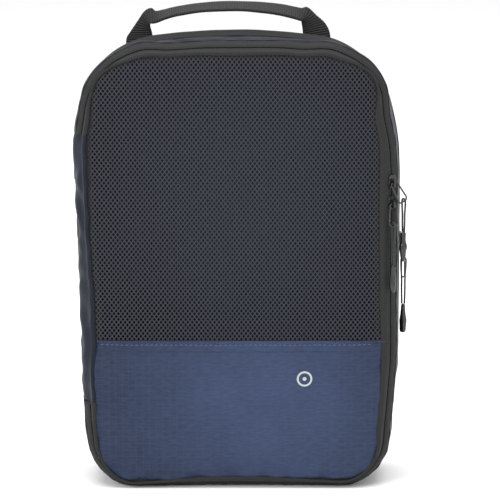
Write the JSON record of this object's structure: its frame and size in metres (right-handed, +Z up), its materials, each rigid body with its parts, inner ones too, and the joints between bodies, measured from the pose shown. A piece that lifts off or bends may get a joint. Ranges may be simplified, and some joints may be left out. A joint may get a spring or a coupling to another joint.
{
  "type": "packing cube",
  "caption": "Soft rectangular packing cube with a mesh lid that zips open, a compression zip round its sides and a webbing grab handle on top.",
  "frame": {"origin": "on the floor, in the middle of the flat base gusset", "axes": "+Z up along the case's height, +X to the right as the mesh lid is looked at, -Y out of the mesh lid"},
  "size_m": [0.2583, 0.0812, 0.3756],
  "materials": {
    "ripstop": "navy ripstop nylon, slight sheen",
    "gusset_lining": "plain navy taffeta",
    "mesh": "charcoal warp-knitted mesh",
    "zip_tape": "black woven polyester zip tape",
    "zip_coil": "black nylon coil",
    "binding": "black grosgrain binding",
    "webbing": "black ribbed nylon webbing",
    "print": "pale heat-transfer print",
    "slider_metal": "black painted zinc and wire",
    "cord": "black braided cord",
    "sleeve": "glossy black shrink sleeve"
  },
  "bodies": {
    "rear_shell": {"back_panel": "ripstop", "rear_gusset": "ripstop", "side_panel_rear": "ripstop", "compression_tape_rear": "zip_tape", "compression_coil_rear": "zip_coil", "expansion_gusset": "gusset_lining", "back_seam_binding": "binding", "handle_anchors": "webbing"},
    "front_shell": {"front_gusset": "ripstop", "main_tape_body": "zip_tape", "main_coil_body": "zip_coil", "compression_tape_front": "zip_tape", "compression_coil_front": "zip_coil", "side_panel_front": "ripstop", "front_seam_binding": "binding"},
    "lid": {"mesh_panel": "mesh", "base_panel": "ripstop", "base_panel_hem": "ripstop", "main_tape_lid": "zip_tape", "main_coil_lid": "zip_coil", "lid_seam_binding": "binding", "badge": "print"},
    "handle": {"carry_handle": "webbing"},
    "upper_slider": {"upper_slider": "slider_metal"},
    "upper_puller": {"upper_puller": "slider_metal"},
    "upper_pull": {"upper_pull_cord": "cord", "upper_pull_sleeve": "sleeve"},
    "lower_slider": {"lower_slider": "slider_metal"},
    "lower_puller": {"lower_puller": "slider_metal"},
    "lower_pull": {"lower_pull_cord": "cord", "lower_pull_sleeve": "sleeve"},
    "compression_slider": {"compression_slider": "slider_metal"},
    "compression_puller": {"compression_puller": "slider_metal"},
    "compression_pull": {"compression_pull_cord": "cord", "compression_pull_sleeve": "sleeve"}
  },
  "joints": [
    {"name": "expansion", "type": "hinge", "parent": "rear_shell", "child": "front_shell", "pos_m": [-0.126, 0.004, 0.17], "axis": [0, 0, -1], "range_deg": [0, 8], "deforming": ["expansion_gusset"]},
    {"name": "lid_hinge", "type": "hinge", "parent": "front_shell", "child": "lid", "pos_m": [-0.1112, -0.0379, 0.17], "axis": [0, 0, -1], "range_deg": [0, 125]},
    {"name": "handle_swing", "type": "hinge", "parent": "rear_shell", "child": "handle", "pos_m": [-0.007, 0.0125, 0.3525], "axis": [1, 0, 0], "range_deg": [-45, 45]},
    {"name": "upper_slider_travel", "type": "slide", "parent": "front_shell", "child": "upper_slider", "axis": [0, 0, 1], "range_m": [0, 0.015]},
    {"name": "lower_slider_travel", "type": "slide", "parent": "front_shell", "child": "lower_slider", "axis": [0, 0, -1], "range_m": [0, 0.095]},
    {"name": "compression_slider_travel", "type": "slide", "parent": "rear_shell", "child": "compression_slider", "axis": [0, 0, 1], "range_m": [-0.065, 0.062]},
    {"name": "upper_puller_swing", "type": "hinge", "parent": "upper_slider", "child": "upper_puller", "pos_m": [0.11936, -0.03606, 0.2405], "axis": [-0.7043, -0.5704, -0.4226], "range_deg": [0, 100]},
    {"name": "upper_pull_swing", "type": "hinge", "parent": "upper_puller", "child": "upper_pull", "pos_m": [0.12728, -0.03515, 0.22606], "axis": [-0.7043, -0.5704, -0.4226], "range_deg": [0, 60]},
    {"name": "lower_puller_swing", "type": "hinge", "parent": "lower_slider", "child": "lower_puller", "pos_m": [0.11936, -0.03606, 0.224], "axis": [-0.7696, -0.6232, 0.1392], "range_deg": [0, 70]},
    {"name": "lower_pull_swing", "type": "hinge", "parent": "lower_puller", "child": "lower_pull", "pos_m": [0.11941, -0.03972, 0.20791], "axis": [-0.7696, -0.6232, 0.1392], "range_deg": [0, 60]},
    {"name": "compression_puller_swing", "type": "hinge", "parent": "compression_slider", "child": "compression_puller", "pos_m": [0.1284, 0.004, 0.189], "axis": [0, -1, 0], "range_deg": [0, 100]},
    {"name": "compression_pull_swing", "type": "hinge", "parent": "compression_puller", "child": "compression_pull", "pos_m": [0.12955, 0.004, 0.17254], "axis": [0, -1, 0], "range_deg": [0, 60]}
  ]
}
